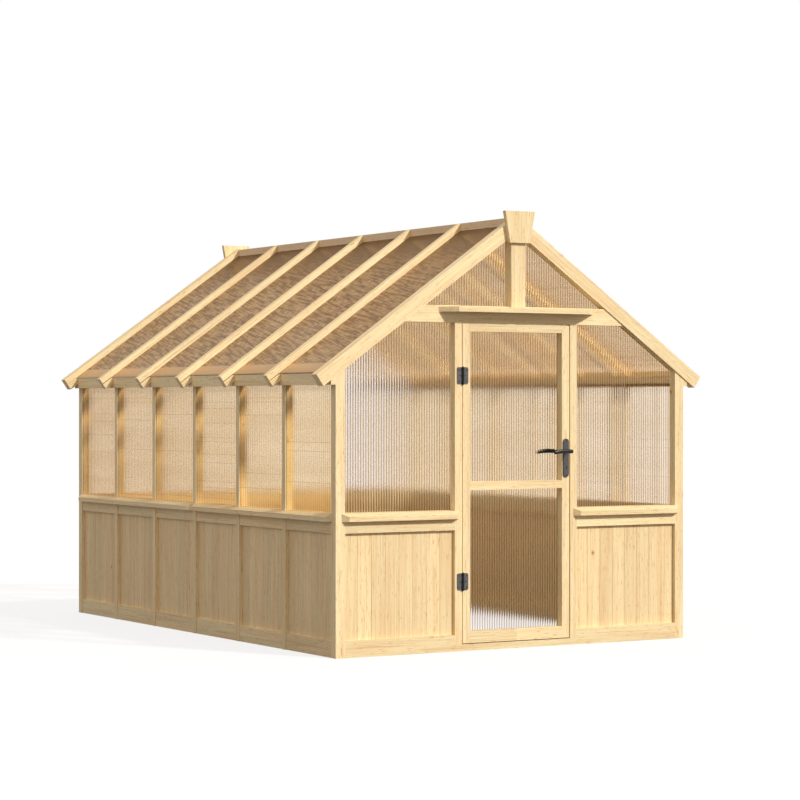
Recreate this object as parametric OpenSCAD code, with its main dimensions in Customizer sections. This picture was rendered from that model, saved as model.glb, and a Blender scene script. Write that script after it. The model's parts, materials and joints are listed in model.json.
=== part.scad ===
// Timber sunroom, also sold as a garden glasshouse. Six bays long, with boarded lower
// walls, ribbed clear sheets above them and over the roof, and an outward opening door.
// The front faces -Y and +Z is up. The origin is on the ground, at the plan's centre.

/* [Building] */
// Width over the corner posts, side to side
building_width = 2470; // [2200:10:3000]
// Length over the corner posts, front to back
building_length = 3660; // [2900:10:4600]
// Number of equal bays along each side wall, an even number
side_bays = 6; // [4:2:8]
// Height of the rafters' underside where it crosses the wall's outer face
wall_height = 1611; // [1500:1:1900]
// Slope of the roof, in degrees
roof_pitch = 35; // [30:1:42]
// Level run of the rafter tails past the wall's outer face
eave_overhang = 129; // [110:1:190]

/* [Wall timbers] */
// Depth of every wall timber, from outer face to inner face
frame_depth = 54; // [45:1:70]
// Width of a corner post on the front and the rear
post_width = 62; // [50:1:90]
// Width of a side wall stud
stud_width = 42; // [36:1:60]
// Width of a door jamb, and of the rear studs in line with it
jamb_width = 49; // [40:1:70]
// Height of the sole plate that lies on the ground
sole_height = 40; // [30:1:60]
// Height of the rail on top of the sole plate
bottom_rail_height = 57; // [45:1:80]
// Height of the rail under the window sill
top_rail_height = 67; // [50:1:90]
// How far the side wall rails lie behind the studs' outer faces
side_rail_setback = 5; // [2:1:10]
// Thickness of the boarded panels
board_thickness = 15; // [12:1:20]
// How far the boarded panels lie behind the posts' outer faces
board_recess = 22; // [15:1:25]

/* [Sills] */
// Height of the sills' underside above the ground
sill_underside = 778; // [600:1:900]
// How far a sill's nose stands out from the wall
sill_nose = 34; // [20:1:50]
// Height of the upright front of the nose
sill_nose_height = 28; // [20:1:40]
// Rise of the weathered top over the nose
sill_bevel_rise = 18; // [8:1:25]
// Further rise from the wall's face to the glazing
sill_inner_rise = 4; // [2:1:10]
// How far a sill ends short of the corner of the building
sill_end_gap = 38; // [34:1:55]
// How far a front sill runs over the door jamb
sill_jamb_lap = 28; // [10:1:40]

/* [Glazing] */
// Thickness of the twin-wall sheets
sheet_thickness = 6; // [4:1:10]
// How far a sheet laps on the timber behind which it is fixed
sheet_lap = 16; // [10:1:18]
// How far a sheet laps on a corner post
sheet_corner_lap = 6; // [4:1:7]
// How far the side windows' sheets lie behind the studs' outer faces
side_sheet_setback = 6; // [4:1:20]
// Space left round a sheet that slides into a groove
sheet_clearance = 0.3; // [0.2:0.1:0.5]
// Depth of the groove that holds a sheet's edge
groove_depth = 12; // [8:1:14]

/* [Roof] */
// Depth of a whole rafter at the gables, square to the slope
rafter_depth = 80; // [80:1:110]
// Width of a middle rafter and of the batten over it
rafter_width = 44; // [40:1:60]
// Depth of the batten that clamps the sheets on a middle rafter
batten_depth = 36; // [20:1:38]
// How far the gable rafters stand out from the gable's face
gable_rafter_proud = 8; // [4:1:14]
// Thickness of the ridge board
ridge_thickness = 30; // [22:1:45]
// How far the ridge board's top lies below the point where the slopes meet
ridge_drop = 11; // [10:1:16]
// Thickness of the eave beam
eave_beam_thickness = 31; // [22:1:45]
// How far the eave beam hangs below the rafters' underside at the wall's face
eave_beam_hang = 50; // [40:1:70]
// Height of the wall plate
wall_plate_height = 45; // [35:1:60]
// Depth of the seat that the wall plate takes out of a rafter
seat_depth = 14; // [8:1:20]
// How far the roof sheets run past the eave beam
roof_sheet_overhang = 12; // [5:1:40]
// Side play of a rafter in its housing in the eave beam
housing_clearance = 0.3; // [0.2:0.1:1]

/* [Gables] */
// Height of the tie beam's underside, which is the door's head
tie_underside = 1928; // [1900:1:2050]
// Height of the tie beam
tie_height = 100; // [80:1:120]
// Width of the king post
king_post_width = 100; // [70:1:130]
// How far the king posts stand out from the gable walls, below the keystones
king_post_proud = 16; // [10:1:24]
// Width of the keystone board at its top
keystone_top_width = 210; // [180:1:260]
// Width of the keystone board at its foot
keystone_foot_width = 140; // [100:1:170]
// Height of the keystone board
keystone_height = 188; // [150:1:240]
// How far the keystone board rises above the point where the slopes meet
keystone_rise = 22; // [10:1:60]
// Thickness of the keystone board
keystone_thickness = 29; // [22:1:45]

/* [Door] */
// Clear width between the jambs
doorway_width = 770; // [700:1:900]
// Gap on the hinge side, above and below the door
door_gap = 5; // [5:1:7]
// Gap on the latch side, which the swinging edge needs
latch_gap = 8; // [8:1:10]
// Width of the door's stiles
stile_width = 52; // [50:1:80]
// Height of the door's top rail
door_top_rail = 46; // [40:1:90]
// Height of the door's middle rail
door_middle_rail = 50; // [40:1:90]
// Height of the middle rail's underside above the ground
door_middle_rail_level = 945; // [800:1:1020]
// Height of the door's bottom rail
door_bottom_rail = 70; // [60:1:140]
// Thickness of wood left behind the grooves for the door's sheets
door_groove_wall = 3; // [2:0.5:15]

/* [Canopy] */
// Length of the canopy along the wall
canopy_length = 1096; // [900:1:1250]
// How far the canopy stands out from the wall
canopy_projection = 88; // [60:1:140]
// Thickness of the canopy board
canopy_thickness = 30; // [22:1:36]
// How far the canopy's top lies below the tie beam's top
canopy_drop = 8; // [4:1:20]

/* [Hinges] */
// Height of a hinge
hinge_height = 100; // [80:1:130]
// Width of one leaf from the pin's axis to its edge
hinge_leaf_width = 39; // [32:1:42]
// Thickness of a leaf
hinge_leaf_thickness = 3; // [2:0.5:4]
// Outer radius of the knuckles
knuckle_radius = 7; // [6:0.5:8]
// Radius of the hinge pin
hinge_pin_radius = 3; // [2.5:0.5:4]
// How far the pin stands out above and below the knuckles
hinge_pin_end = 5; // [0:1:8]
// Height of the lower hinge's middle above the ground
lower_hinge_level = 408; // [300:1:500]
// Height of the upper hinge's middle above the ground
upper_hinge_level = 1617; // [1500:1:1750]

/* [Handle] */
// Height of the lever's spindle above the ground
spindle_level = 1166; // [1050:1:1250]
// Width of the handle's back plate
plate_width = 39; // [36:1:46]
// Height of the back plate
plate_height = 231; // [180:1:260]
// Thickness of the back plate
plate_thickness = 8; // [6:1:12]
// How far the plate's middle lies below the spindle
plate_drop = 39; // [20:1:50]
// Length of the lever from its spindle to its tip
lever_length = 134; // [100:1:145]
// Distance of the lever's middle from the door's face
lever_standoff = 68; // [40:1:75]
// Radius of the lever's neck, which turns in the plate
neck_radius = 9; // [8:0.5:11]

/* [Hidden] */

// Finishes
timber = "burlywood";
timber_light = "wheat";
boarding = "tan";
clear_sheet = "lightcyan";
dark_steel = "dimgray";

half_width = building_width / 2;
half_length = building_length / 2;
reach = building_width + building_length;

// Upright places, from the ground up
bottom_rail_top = sole_height + bottom_rail_height;
top_rail_foot = sill_underside - top_rail_height;
sill_top = sill_underside + sill_nose_height + sill_bevel_rise + sill_inner_rise;
sheet_foot = sill_top - sheet_lap;
plate_top = wall_height + seat_depth;
plate_foot = plate_top - wall_plate_height;
tie_top = tie_underside + tie_height;
apex_height = wall_height + half_width * tan(roof_pitch) + rafter_depth / cos(roof_pitch);
keystone_foot_level = apex_height + keystone_rise - keystone_height;

// The roof, square to its slope
sheet_drop = batten_depth + sheet_thickness;
slope_length = (half_width + eave_overhang) / cos(roof_pitch);
sheet_end = (half_width + eave_beam_thickness + roof_sheet_overhang
    + sheet_drop * sin(roof_pitch)) / cos(roof_pitch);
gable_rafter_thickness = frame_depth + gable_rafter_proud;

// The side walls' studs stand at equal centres between the corner posts
bay_pitch = (building_length - frame_depth) / side_bays;
function stud_place(k) = -half_length + frame_depth / 2 + k * bay_pitch;
function is_corner(k) = k == 0 || k == side_bays;
function half_stud(k) = (is_corner(k) ? frame_depth : stud_width) / 2;
side_spans = [for (k = [0 : side_bays - 1])
    [stud_place(k) + half_stud(k), stud_place(k + 1) - half_stud(k + 1)]];

// The front and rear walls
jamb_outer = doorway_width / 2 + jamb_width;
post_inner = half_width - post_width;
front_spans = [[-post_inner, -jamb_outer], [jamb_outer, post_inner]];
rear_spans = concat(front_spans, [[-doorway_width / 2, doorway_width / 2]]);

// The door, measured from its wall's outer face and the building's centre line
door_left = -doorway_width / 2 + door_gap;
door_right = doorway_width / 2 - latch_gap;
door_foot = sole_height + door_gap;
door_top = tie_underside - door_gap;
door_middle_rail_top = door_middle_rail_level + door_middle_rail;
door_sheet_recess = frame_depth - door_groove_wall - sheet_thickness;
hinge_axis_x = -(doorway_width - door_gap) / 2;
hinge_axis_y = -knuckle_radius - 0.5;
hinge_running_gap = 0.05;
knuckle_count = 5;
knuckle_gap = 0.4;
hinge_corner_radius = 12;
spindle_x = door_right - stile_width / 2;
spindle_radius = 5;
spindle_hole_radius = 8;
neck_running_gap = 0.05;
neck_start = 1;
keyhole_drop = 98;

// Level of the roof at x, lowered by drop square to the slope
function roof_level(x, drop) = apex_height - drop / cos(roof_pitch) - abs(x) * tan(roof_pitch);

// Places a wall's pieces: x along the wall, y inwards from its outer face, z up
module at_front() { translate([0, -half_length, 0]) children(); }
module at_rear() { rotate([0, 0, 180]) at_front() children(); }
module at_left() { rotate([0, 0, -90]) translate([0, -half_width, 0]) children(); }
module at_right() { rotate([0, 0, 90]) translate([0, -half_width, 0]) children(); }
module at_both_sides() { at_left() children(); at_right() children(); }
module at_both_ends() { at_front() children(); at_rear() children(); }

// Places roof pieces: x down the slope from the ridge, y along the ridge, z square to it
module on_right_slope() {
    translate([0, 0, apex_height]) rotate([0, roof_pitch, 0]) children();
}

// Places pieces on one slope or both, cut plumb at gap from the middle of the ridge
module cut_at_ridge(gap) {
    difference() {
        on_right_slope() children();
        block([-reach, -reach, 0], [gap, reach, apex_height + rafter_depth]);
    }
}
module on_both_slopes(gap) {
    for (side = [0, 1]) mirror([side, 0, 0]) cut_at_ridge(gap) children();
}

// A box between two opposite corners
module block(low, high) { translate(low) cube(high - low); }

// A plate drawn in front view as points [x, z], from y0 to y1
module upright_plate(points, y0, y1) {
    translate([0, y1, 0]) rotate([90, 0, 0]) linear_extrude(y1 - y0) polygon(points);
}

// All that lies under the roof, lowered by drop, through a wall's depth and its sheet
module under_roof(drop) {
    span = half_width + eave_overhang;
    upright_plate([[-span, -1], [span, -1], [span, roof_level(span, drop)],
        [0, roof_level(0, drop)], [-span, roof_level(span, drop)]],
        -canopy_projection, frame_depth + sheet_thickness);
}

// One board panel, rail pair or sheet for each span of a wall
module rails(spans, setback) {
    for (s = spans) {
        block([s[0], setback, sole_height], [s[1], frame_depth, bottom_rail_top]);
        block([s[0], setback, top_rail_foot], [s[1], frame_depth, sill_underside]);
    }
}
module boards(spans) {
    for (s = spans)
        block([s[0], board_recess, bottom_rail_top],
            [s[1], board_recess + board_thickness, top_rail_foot]);
}

// A sill: a weathered nose with mitred ends, and a tongue into each window opening
module sill(x0, x1, spans) {
    upstand = sill_nose_height + sill_bevel_rise;
    intersection() {
        translate([x0, 0, sill_underside]) rotate([90, 0, 90]) linear_extrude(x1 - x0)
            polygon([[0, 0], [0, upstand], [-sill_nose, sill_nose_height], [-sill_nose, 0]]);
        translate([0, 0, sill_underside]) linear_extrude(upstand)
            polygon([[x0, 0], [x1, 0], [x1 - sill_nose, -sill_nose], [x0 + sill_nose, -sill_nose]]);
    }
    for (s = spans)
        translate([s[0], 0, sill_underside]) rotate([90, 0, 90]) linear_extrude(s[1] - s[0])
            polygon([[0, 0], [frame_depth, 0], [frame_depth, upstand + sill_inner_rise],
                [0, upstand]]);
}

// ---------------------------------------------------------------- the base

module front_sole() color(timber) at_front()
    block([-post_inner, 0, 0], [post_inner, frame_depth, sole_height]);

module rear_sole() color(timber) at_rear()
    block([-post_inner, 0, 0], [post_inner, frame_depth, sole_height]);

module side_soles() color(timber) at_both_sides()
    for (s = side_spans)
        block([s[0], side_rail_setback, 0], [s[1], frame_depth, sole_height]);

// ---------------------------------------------------------------- posts and studs

module corner_posts() color(timber_light) difference() {
    at_both_ends() intersection() {
        union() {
            block([-half_width, 0, 0], [-post_inner, frame_depth, apex_height]);
            block([post_inner, 0, 0], [half_width, frame_depth, apex_height]);
        }
        under_roof(rafter_depth);
    }
    at_both_sides() side_sheet_blocks(sheet_clearance);
}

module side_studs() color(timber) at_both_sides() difference() {
    for (k = [1 : side_bays - 1])
        block([stud_place(k) - stud_width / 2, 0, 0],
            [stud_place(k) + stud_width / 2, frame_depth, plate_foot]);
    side_sheet_blocks(sheet_clearance);
}

module door_side_posts() {
    for (side = [-1, 1])
        translate([side * (jamb_outer - jamb_width / 2) - jamb_width / 2, 0, sole_height])
            cube([jamb_width, frame_depth, tie_underside - sole_height]);
}
module door_jambs() color(timber_light) at_front() door_side_posts();
module rear_studs() color(timber_light) at_rear() door_side_posts();

// ---------------------------------------------------------------- rails and boarding

module front_rails() color(timber_light) at_front() rails(front_spans, 0);
module rear_rails() color(timber_light) at_rear() rails(rear_spans, 0);
module side_rails() color(timber) at_both_sides() rails(side_spans, side_rail_setback);

module front_boards() color(boarding) at_front() boards(front_spans);
module rear_boards() color(boarding) at_rear() boards(rear_spans);
module side_boards() color(boarding) at_both_sides() boards(side_spans);

// ---------------------------------------------------------------- sills

module front_sills() color(timber_light) at_front()
    for (side = [0, 1]) mirror([side, 0, 0])
        sill(jamb_outer - sill_jamb_lap, half_width - sill_end_gap, [front_spans[1]]);

module rear_sill() color(timber_light) at_rear()
    sill(-half_width + sill_end_gap, half_width - sill_end_gap, rear_spans);

// Two sills a side, which meet with their mitres at the middle stud
module side_sills() color(timber) at_both_sides() difference() {
    middle = side_bays / 2;
    union() {
        sill(-half_length + sill_end_gap, stud_place(middle) - sheet_clearance,
            [for (k = [0 : middle - 1]) side_spans[k]]);
        sill(stud_place(middle) + sheet_clearance, half_length - sill_end_gap,
            [for (k = [middle : side_bays - 1]) side_spans[k]]);
    }
    side_sheet_blocks(sheet_clearance);
}

// ---------------------------------------------------------------- windows

// A gable wall's sheet, fixed behind its timbers and cut to the roof's slope
module gable_wall_sheet(x0, x1, foot, top) {
    intersection() {
        block([x0, frame_depth, foot], [x1, frame_depth + sheet_thickness, top]);
        under_roof(rafter_depth - sheet_lap);
    }
}
module outer_window_sheets() {
    for (side = [0, 1]) mirror([side, 0, 0])
        gable_wall_sheet(jamb_outer - sheet_lap, post_inner + sheet_corner_lap, sheet_foot,
            tie_underside + sheet_lap);
}
module front_windows() color(clear_sheet) at_front() outer_window_sheets();
module rear_windows() color(clear_sheet) at_rear() {
    outer_window_sheets();
    gable_wall_sheet(-doorway_width / 2 - sheet_lap, doorway_width / 2 + sheet_lap, sheet_foot,
        tie_underside + sheet_lap);
}

// A side's sheets, with grow added all round so that it also cuts their grooves
module side_sheet_blocks(grow) {
    for (s = side_spans)
        block([s[0] - groove_depth - grow, side_sheet_setback - grow, sheet_foot - grow],
            [s[1] + groove_depth + grow, side_sheet_setback + sheet_thickness + grow,
                plate_foot + groove_depth + grow]);
}
module side_windows() color(clear_sheet) at_both_sides() side_sheet_blocks(0);

module gable_windows() color(clear_sheet) at_both_ends()
    for (side = [0, 1]) mirror([side, 0, 0])
        gable_wall_sheet(king_post_width / 2 - sheet_lap, half_width, tie_top - sheet_lap,
            apex_height);

// ---------------------------------------------------------------- wall heads

module wall_plates() color(timber) at_both_sides() difference() {
    block([-half_length + frame_depth, 0, plate_foot],
        [half_length - frame_depth, frame_depth, plate_top]);
    side_sheet_blocks(sheet_clearance);
}

// The eave beam's top is planed to the slope under the sheets, and housed for each rafter
module eave_beams() color(timber)
    for (side = [0, 1]) mirror([side, 0, 0]) difference() {
        rotate([90, 0, 0]) translate([0, 0, -half_length]) linear_extrude(building_length)
            polygon([[half_width, wall_height - eave_beam_hang],
                [half_width + eave_beam_thickness, wall_height - eave_beam_hang],
                [half_width + eave_beam_thickness,
                    roof_level(half_width + eave_beam_thickness, sheet_drop)],
                [half_width, roof_level(half_width, sheet_drop)]]);
        on_right_slope() for (k = [0 : side_bays]) {
            inner = (is_corner(k) ? frame_depth / 2 : rafter_width / 2) + housing_clearance;
            block([0, stud_place(k) - inner - (k == 0 ? frame_depth : 0), -rafter_depth],
                [slope_length, stud_place(k) + inner + (k == side_bays ? frame_depth : 0), 0]);
        }
    }

module tie_beams() color(timber_light) at_both_ends() intersection() {
    block([-half_width, 0, tie_underside], [half_width, frame_depth, tie_top]);
    under_roof(rafter_depth);
}

// King posts are thicker below the keystone, which fits into the notch above
module king_posts() color(timber_light) at_both_ends() intersection() {
    union() {
        block([-king_post_width / 2, 0, tie_top],
            [king_post_width / 2, frame_depth, apex_height]);
        block([-king_post_width / 2, -king_post_proud, tie_top - canopy_drop],
            [king_post_width / 2, 0, keystone_foot_level]);
    }
    under_roof(rafter_depth);
}

// ---------------------------------------------------------------- roof

module ridge_board() color(timber)
    block([-ridge_thickness / 2, -half_length + frame_depth,
            apex_height - rafter_depth / cos(roof_pitch)],
        [ridge_thickness / 2, half_length - frame_depth, apex_height - ridge_drop]);

// Rafters cut plumb at the ridge and bird's-mouthed over the wall plates
module rafters() color(timber) difference() {
    on_both_slopes(ridge_thickness / 2)
        for (k = [1 : side_bays - 1])
            block([0, stud_place(k) - rafter_width / 2, -rafter_depth],
                [slope_length, stud_place(k) + rafter_width / 2, -sheet_drop]);
    at_both_sides() block([-half_length, 0, 0], [half_length, frame_depth, plate_top]);
}

module battens() color(timber_light)
    on_both_slopes(ridge_thickness / 2)
        for (k = [1 : side_bays - 1])
            block([0, stud_place(k) - rafter_width / 2, -batten_depth],
                [slope_length, stud_place(k) + rafter_width / 2, 0]);

// One slope's front and rear rafters, grooved on their inner sides for the sheets
module gable_rafter_pair() {
    for (end = [0, 1]) mirror([0, end, 0]) difference() {
        block([0, -half_length - gable_rafter_proud, -rafter_depth],
            [slope_length, -half_length + frame_depth, 0]);
        block([-rafter_depth, -half_length + frame_depth - groove_depth - sheet_clearance,
                -sheet_drop - sheet_clearance],
            [slope_length + 1, -half_length + frame_depth + 1,
                -batten_depth + sheet_clearance]);
    }
}
module left_gable_rafters() color(timber_light)
    mirror([1, 0, 0]) cut_at_ridge(0) gable_rafter_pair();
module right_gable_rafters() color(timber_light) cut_at_ridge(0) gable_rafter_pair();

module roof_sheets() color(clear_sheet)
    on_both_slopes(ridge_thickness / 2 + sheet_clearance)
        for (k = [0 : side_bays - 1]) {
            from = is_corner(k) ? stud_place(k) + frame_depth / 2 - groove_depth
                : stud_place(k) + 1;
            to = is_corner(k + 1) ? stud_place(k + 1) - frame_depth / 2 + groove_depth
                : stud_place(k + 1) - 1;
            block([0, from, -sheet_drop], [sheet_end, to, -batten_depth]);
        }

module keystones() color(timber_light) at_both_ends()
    upright_plate([[-keystone_foot_width / 2, keystone_foot_level],
        [keystone_foot_width / 2, keystone_foot_level],
        [keystone_top_width / 2, apex_height + keystone_rise],
        [-keystone_top_width / 2, apex_height + keystone_rise]],
        -gable_rafter_proud - keystone_thickness, -gable_rafter_proud);

// ---------------------------------------------------------------- canopy and door

module door_canopy() color(timber_light) at_front()
    translate([0, 0, tie_top - canopy_drop - canopy_thickness]) linear_extrude(canopy_thickness)
        polygon([[-canopy_length / 2, 0], [canopy_length / 2, 0],
            [canopy_length / 2 - canopy_projection, -canopy_projection],
            [-canopy_length / 2 + canopy_projection, -canopy_projection]]);

// The door's sheets, with grow added all round so that it also cuts their grooves
module door_sheet_blocks(grow) {
    for (z = [[door_foot + door_bottom_rail, door_middle_rail_level],
            [door_middle_rail_top, door_top - door_top_rail]])
        block([door_left + stile_width - groove_depth - grow, door_sheet_recess - grow,
                z[0] - groove_depth - grow],
            [door_right - stile_width + groove_depth + grow,
                door_sheet_recess + sheet_thickness + grow, z[1] + groove_depth + grow]);
}

module door_stiles() color(timber_light) at_front() difference() {
    union() {
        block([door_left, 0, door_foot], [door_left + stile_width, frame_depth, door_top]);
        block([door_right - stile_width, 0, door_foot], [door_right, frame_depth, door_top]);
    }
    door_sheet_blocks(sheet_clearance);
    translate([spindle_x, -1, spindle_level]) rotate([-90, 0, 0])
        cylinder(r = spindle_hole_radius, h = frame_depth + 2, $fn = 48);
}

module door_rails() color(timber_light) at_front() difference() {
    for (z = [[door_foot, door_foot + door_bottom_rail],
            [door_middle_rail_level, door_middle_rail_top],
            [door_top - door_top_rail, door_top]])
        block([door_left + stile_width, 0, z[0]], [door_right - stile_width, frame_depth, z[1]]);
    door_sheet_blocks(sheet_clearance);
}

module door_sheets() color(clear_sheet) at_front() door_sheet_blocks(0);

// ---------------------------------------------------------------- hinges

// A leaf's plate with rounded outer corners, lying to +x of the pin's axis
module hinge_plate() {
    straight = hinge_leaf_width - hinge_corner_radius;
    translate([0, -hinge_axis_y, -hinge_height / 2]) rotate([90, 0, 0])
        linear_extrude(hinge_leaf_thickness) {
            translate([knuckle_radius + 1, 0])
                square([straight - knuckle_radius - 1, hinge_height]);
            translate([straight, hinge_corner_radius])
                square([hinge_corner_radius, hinge_height - 2 * hinge_corner_radius]);
            for (z = [hinge_corner_radius, hinge_height - hinge_corner_radius])
                translate([straight, z]) circle(r = hinge_corner_radius, $fn = 48);
        }
}

// The knuckles of one leaf: every second one, counted from first
module knuckles(first) {
    pitch = hinge_height / knuckle_count;
    for (k = [first : 2 : knuckle_count - 1])
        translate([0, 0, -hinge_height / 2 + k * pitch + knuckle_gap / 2]) {
            cylinder(r = knuckle_radius, h = pitch - knuckle_gap, $fn = 48);
            translate([0, -hinge_axis_y - hinge_leaf_thickness, 0])
                cube([knuckle_radius + 2, hinge_leaf_thickness, pitch - knuckle_gap]);
        }
}

module at_hinges() {
    for (level = [lower_hinge_level, upper_hinge_level])
        at_front() translate([hinge_axis_x, hinge_axis_y, level]) children();
}

module frame_hinge_leaves() color(dark_steel) at_hinges() {
    mirror([1, 0, 0]) {
        hinge_plate();
        knuckles(0);
    }
    translate([0, 0, -hinge_height / 2 - hinge_pin_end])
        cylinder(r = hinge_pin_radius, h = hinge_height + 2 * hinge_pin_end, $fn = 48);
}

module door_hinge_leaves() color(dark_steel) at_hinges() difference() {
    union() {
        hinge_plate();
        knuckles(1);
    }
    translate([0, 0, -hinge_height / 2])
        cylinder(r = hinge_pin_radius + hinge_running_gap, h = hinge_height, $fn = 48);
}

// ---------------------------------------------------------------- handle

// Places a child at the spindle outside, and once more mirrored to the door's inner face
module on_both_faces() {
    at_front() translate([spindle_x, 0, spindle_level]) {
        children();
        translate([0, frame_depth, 0]) mirror([0, 1, 0]) children();
    }
}

// A back plate with round ends, lying in front of the face, bored for the lever's neck
module back_plate() {
    radius = plate_width / 2;
    half_straight = plate_height / 2 - radius;
    difference() {
        translate([0, 0, -plate_drop]) rotate([90, 0, 0]) {
            translate([-radius, -half_straight, 0])
                cube([plate_width, 2 * half_straight, plate_thickness]);
            for (z = [-half_straight, half_straight])
                translate([0, z, 0]) cylinder(r = radius, h = plate_thickness, $fn = 64);
        }
        rotate([90, 0, 0]) translate([0, 0, -1])
            cylinder(r = neck_radius + neck_running_gap, h = plate_thickness + 2, $fn = 48);
        translate([0, 0, -keyhole_drop]) rotate([90, 0, 0]) translate([0, 0, -1]) {
            cylinder(r = 4, h = plate_thickness + 2, $fn = 32);
            translate([-1.75, -12, 0]) cube([3.5, 12, plate_thickness + 2]);
        }
    }
}
module handle_plates() color(dark_steel) on_both_faces() back_plate();

// One lever: a neck out of the plate and a swelling arm that runs towards the hinges
module lever_arm() {
    translate([0, -neck_start, 0]) rotate([90, 0, 0])
        cylinder(r = neck_radius, h = lever_standoff - neck_start, $fn = 48);
    stations = [[0, 0, 12, 9], [-0.35, 2, 13, 8], [-0.7, 0, 12, 7], [-0.92, -7, 10, 6]];
    for (k = [0 : len(stations) - 2])
        hull() for (s = [stations[k], stations[k + 1]])
            translate([s[0] * lever_length, -lever_standoff, s[1]])
                scale([s[3] / s[2], s[3] / s[2], 1]) sphere(r = s[2], $fn = 20);
}
module door_lever() color(dark_steel) {
    on_both_faces() lever_arm();
    at_front() translate([spindle_x, 0, spindle_level]) rotate([-90, 0, 0])
        translate([0, 0, -plate_thickness])
            cylinder(r = spindle_radius, h = frame_depth + 2 * plate_thickness, $fn = 48);
}

front_sole();
rear_sole();
side_soles();
corner_posts();
side_studs();
rear_studs();
door_jambs();
front_rails();
rear_rails();
side_rails();
front_boards();
rear_boards();
side_boards();
front_sills();
rear_sill();
side_sills();
front_windows();
rear_windows();
side_windows();
gable_windows();
wall_plates();
eave_beams();
tie_beams();
king_posts();
ridge_board();
rafters();
battens();
left_gable_rafters();
right_gable_rafters();
roof_sheets();
keystones();
door_canopy();
door_stiles();
door_rails();
door_sheets();
frame_hinge_leaves();
door_hinge_leaves();
handle_plates();
door_lever();
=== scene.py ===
# %% [markdown]
# # A timber sunroom
#
# This lesson dresses a garden sunroom: a frame of planed spruce, tongued and grooved
# boards below the sills, ribbed clear sheets above them and over the roof, and a door with
# dark steel hinges and a lever handle. The timbers arrive finished in shape as the CAD
# frame, so they only get a wood material. The boards, the ribbed sheets, the screws and the
# lever are modelled here, because their small shapes are what makes them look real.

# %% Load the frame
import json
import math

import bmesh
import bpy
import numpy as np
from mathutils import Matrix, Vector
from mathutils.geometry import convex_hull_2d


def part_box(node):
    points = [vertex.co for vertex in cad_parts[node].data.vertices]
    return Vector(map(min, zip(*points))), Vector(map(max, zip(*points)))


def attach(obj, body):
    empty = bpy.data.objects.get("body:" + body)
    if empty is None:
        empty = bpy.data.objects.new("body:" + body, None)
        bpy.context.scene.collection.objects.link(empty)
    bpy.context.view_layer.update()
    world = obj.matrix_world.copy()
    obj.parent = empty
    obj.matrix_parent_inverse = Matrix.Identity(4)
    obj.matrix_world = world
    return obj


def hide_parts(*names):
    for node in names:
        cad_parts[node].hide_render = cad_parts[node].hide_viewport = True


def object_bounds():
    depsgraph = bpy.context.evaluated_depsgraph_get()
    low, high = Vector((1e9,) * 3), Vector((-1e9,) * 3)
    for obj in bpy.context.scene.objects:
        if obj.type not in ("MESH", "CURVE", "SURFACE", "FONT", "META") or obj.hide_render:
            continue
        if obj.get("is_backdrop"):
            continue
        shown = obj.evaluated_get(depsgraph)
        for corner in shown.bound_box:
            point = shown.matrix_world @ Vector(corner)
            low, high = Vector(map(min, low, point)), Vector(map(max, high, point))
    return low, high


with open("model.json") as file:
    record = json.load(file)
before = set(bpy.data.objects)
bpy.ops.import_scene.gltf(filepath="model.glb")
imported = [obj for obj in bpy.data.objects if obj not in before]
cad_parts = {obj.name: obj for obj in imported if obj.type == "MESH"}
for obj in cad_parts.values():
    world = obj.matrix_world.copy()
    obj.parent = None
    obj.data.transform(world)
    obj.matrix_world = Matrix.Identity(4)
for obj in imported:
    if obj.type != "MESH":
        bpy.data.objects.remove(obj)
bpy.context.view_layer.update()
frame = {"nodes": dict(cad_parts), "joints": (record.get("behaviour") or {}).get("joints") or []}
MM = 0.001
EAST, NORTH, UP = Vector((1, 0, 0)), Vector((0, 1, 0)), Vector((0, 0, 1))

# %% [markdown]
# ## Nodes and colours
#
# Materials are built from nodes. They could be laid out by hand in the shader editor, but
# a few lines of code keep them readable. One helper adds a node, sets its options, and fills
# its inputs. Another turns a colour written as an sRGB hex value, the way a paint chart
# gives it, into the linear numbers that the shaders use. A pattern's size is a real one, in
# mm for each axis, and coordinates divided by it count that size.


# %% The helpers for nodes and colours
def set_stops(elements, stops):
    """Fills a colour ramp from pairs of a position and a hex colour or an amount."""
    elements[0].position, elements[1].position = stops[0][0], stops[-1][0]
    for position, _ in stops[1:-1]:
        elements.new(position)
    for element, (_, value) in zip(elements, stops):
        element.color = linear(value) if isinstance(value, str) else (value, value, value, 1)


def add_node(tree, kind, inputs=(), stops=(), **settings):
    """Adds a shader node, sets its options, and sets or links its inputs.

    The inputs are a list in the order of the sockets in use, or a dictionary by name. A node
    is linked by its first output in use, a socket as it is, and anything else is a value.
    """
    added = tree.nodes.new("ShaderNode" + kind)
    for option, value in settings.items():
        setattr(added, option, value)
    if stops:
        set_stops(added.color_ramp.elements, stops)
    if isinstance(inputs, dict):
        pairs = [(added.inputs[name], value) for name, value in inputs.items()]
    else:
        pairs = zip([socket for socket in added.inputs if socket.enabled], inputs)
    for socket, value in pairs:
        if isinstance(value, bpy.types.Node):
            value = next(output for output in value.outputs if output.enabled)
        if isinstance(value, bpy.types.NodeSocket):
            tree.links.new(value, socket)
        else:
            socket.default_value = value
    return added


def linear(hex_colour):
    """The linear RGBA of an sRGB colour such as F0D2A0."""
    channels = [int(hex_colour[i : i + 2], 16) / 255 for i in (0, 2, 4)]
    light = [c / 12.92 if c <= 0.04045 else ((c + 0.055) / 1.055) ** 2.4 for c in channels]
    return (*light, 1.0)


def new_material(name):
    """A material with an empty node tree, and that tree."""
    material = bpy.data.materials.new(name)
    material.use_nodes = True
    material.node_tree.nodes.clear()
    return material, material.node_tree


def mm(*lengths):
    """Lengths given in mm, in metres."""
    return [length * MM for length in lengths]


WHITE = linear("FFFFFF")
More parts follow.
